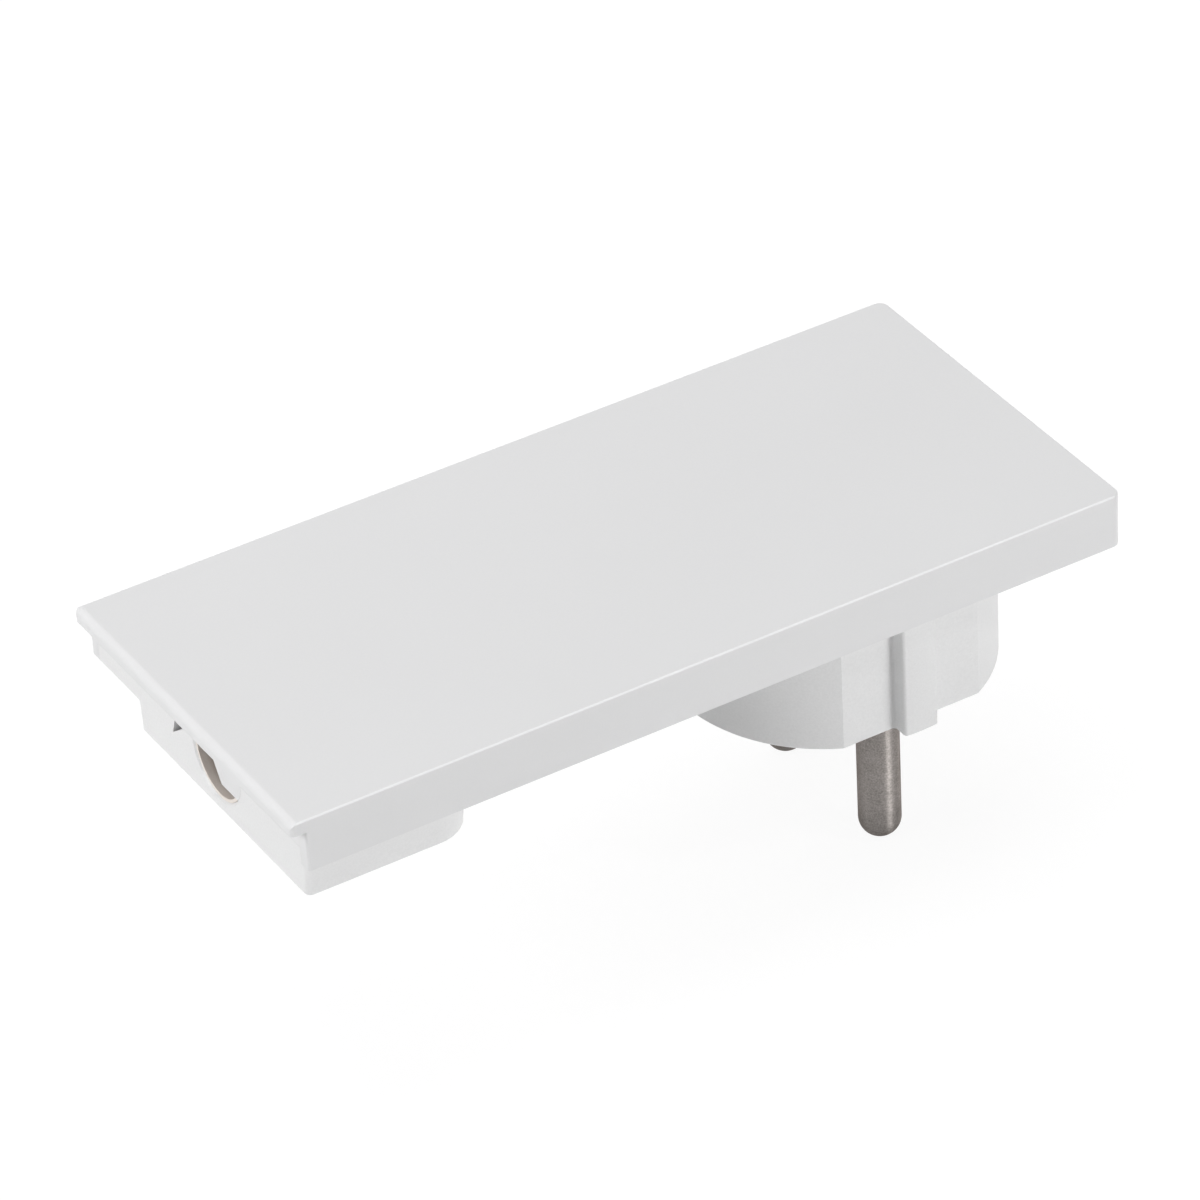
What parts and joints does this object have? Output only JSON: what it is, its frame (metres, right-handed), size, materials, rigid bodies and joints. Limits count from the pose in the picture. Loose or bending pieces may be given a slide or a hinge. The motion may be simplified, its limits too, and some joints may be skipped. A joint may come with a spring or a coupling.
{
  "type": "flat low profile plug",
  "caption": "Flat low profile mains plug: a long thin white cover with a finger lip over a round earthed plug body with nickel contact pins and a cable inlet in its end wall.",
  "frame": {"origin": "on the axis of the round plug body, in the plane of the housing's underside that meets the front of the socket", "axes": "+X along the housing from the cable end to the plug end, +Z out of the wall through the flat cover, the pins point along -Z"},
  "size_m": [0.1013, 0.046, 0.0434],
  "materials": {
    "white_plastic": "fine satin moulding",
    "carrier_plastic": "satin moulding",
    "beige_plastic": "matt moulding",
    "nickel": "satin nickel plate",
    "brass": "as machined",
    "zinc_steel": "bright zinc plate"
  },
  "bodies": {
    "root": {"top_cover": "white_plastic", "base_housing": "white_plastic", "contact_carrier": "carrier_plastic", "line_pin": "nickel", "neutral_pin": "nickel", "earth_bracket": "nickel", "earth_socket": "nickel", "line_terminal": "brass", "neutral_terminal": "brass", "line_terminal_screw": "zinc_steel", "neutral_terminal_screw": "zinc_steel", "earth_screw": "zinc_steel", "earth_washer": "zinc_steel", "earth_nut": "zinc_steel", "near_clamp_screw": "zinc_steel", "far_clamp_screw": "zinc_steel", "near_cover_screw": "zinc_steel", "far_cover_screw": "zinc_steel", "cable_saddle": "beige_plastic", "cable_clamp": "beige_plastic"}
  },
  "joints": []
}
